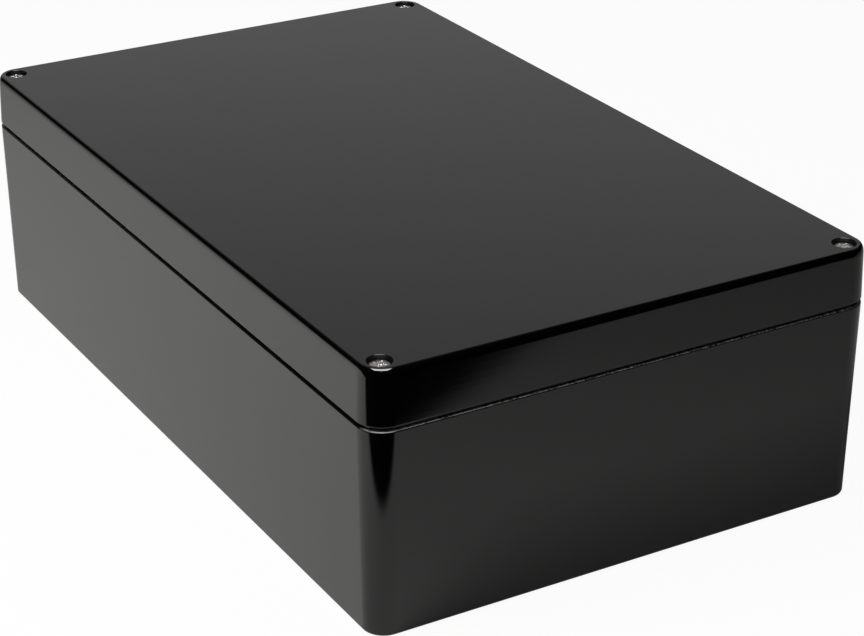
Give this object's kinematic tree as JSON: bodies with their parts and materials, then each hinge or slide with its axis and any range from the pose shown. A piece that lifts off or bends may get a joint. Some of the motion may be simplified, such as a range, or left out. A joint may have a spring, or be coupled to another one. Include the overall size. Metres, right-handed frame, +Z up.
{
  "type": "plastic project box",
  "caption": "Glossy black moulded project box about 260 by 160 by 78 mm, with a gasketed lid held by captive corner screws over a dark seam.",
  "frame": {"origin": "middle of the underside, on the surface that the box stands on", "axes": "+Z up, +X along the box's length, +Y across it"},
  "size_m": [0.26, 0.16, 0.0782],
  "materials": {
    "black_plastic": "gloss",
    "gasket_rubber": "matte",
    "screw_steel": "polished",
    "insert_brass": "satin",
    "washer_nylon": "satin"
  },
  "bodies": {
    "base": {"base": "black_plastic", "corner_insert_1": "insert_brass", "corner_insert_2": "insert_brass", "corner_insert_3": "insert_brass", "corner_insert_4": "insert_brass", "floor_insert_1": "insert_brass", "floor_insert_2": "insert_brass", "floor_insert_3": "insert_brass", "floor_insert_4": "insert_brass", "floor_insert_5": "insert_brass", "floor_insert_6": "insert_brass"},
    "lid": {"lid": "black_plastic", "gasket": "gasket_rubber"},
    "retaining_washer_1": {"retaining_washer_1": "washer_nylon"},
    "lid_screw_1": {"lid_screw_1": "screw_steel"},
    "retaining_washer_2": {"retaining_washer_2": "washer_nylon"},
    "lid_screw_2": {"lid_screw_2": "screw_steel"},
    "retaining_washer_3": {"retaining_washer_3": "washer_nylon"},
    "lid_screw_3": {"lid_screw_3": "screw_steel"},
    "retaining_washer_4": {"retaining_washer_4": "washer_nylon"},
    "lid_screw_4": {"lid_screw_4": "screw_steel"}
  },
  "joints": [
    {"name": "lid_lift", "type": "slide", "parent": "base", "child": "lid", "axis": [0, 0, 1], "range_m": [0, 0.1]},
    {"name": "screw_1_rise", "type": "slide", "parent": "lid", "child": "retaining_washer_1", "axis": [0, 0, 1], "range_m": [0, 0.008]},
    {"name": "screw_1_turn", "type": "hinge", "parent": "retaining_washer_1", "child": "lid_screw_1", "pos_m": [0.1236, 0.0736, 0.0742], "axis": [0, 0, 1], "range_deg": [0, 5761]},
    {"name": "screw_2_rise", "type": "slide", "parent": "lid", "child": "retaining_washer_2", "axis": [0, 0, 1], "range_m": [0, 0.008]},
    {"name": "screw_2_turn", "type": "hinge", "parent": "retaining_washer_2", "child": "lid_screw_2", "pos_m": [-0.1236, 0.0736, 0.0742], "axis": [0, 0, 1], "range_deg": [0, 5761]},
    {"name": "screw_3_rise", "type": "slide", "parent": "lid", "child": "retaining_washer_3", "axis": [0, 0, 1], "range_m": [0, 0.008]},
    {"name": "screw_3_turn", "type": "hinge", "parent": "retaining_washer_3", "child": "lid_screw_3", "pos_m": [-0.1236, -0.0736, 0.0742], "axis": [0, 0, 1], "range_deg": [0, 5761]},
    {"name": "screw_4_rise", "type": "slide", "parent": "lid", "child": "retaining_washer_4", "axis": [0, 0, 1], "range_m": [0, 0.008]},
    {"name": "screw_4_turn", "type": "hinge", "parent": "retaining_washer_4", "child": "lid_screw_4", "pos_m": [0.1236, -0.0736, 0.0742], "axis": [0, 0, 1], "range_deg": [0, 5761]}
  ],
  "couplings": [
    {"joint": "screw_1_turn", "follows": "screw_1_rise", "rad_per_m": 12566},
    {"joint": "screw_2_turn", "follows": "screw_2_rise", "rad_per_m": 12566},
    {"joint": "screw_3_turn", "follows": "screw_3_rise", "rad_per_m": 12566},
    {"joint": "screw_4_turn", "follows": "screw_4_rise", "rad_per_m": 12566}
  ]
}
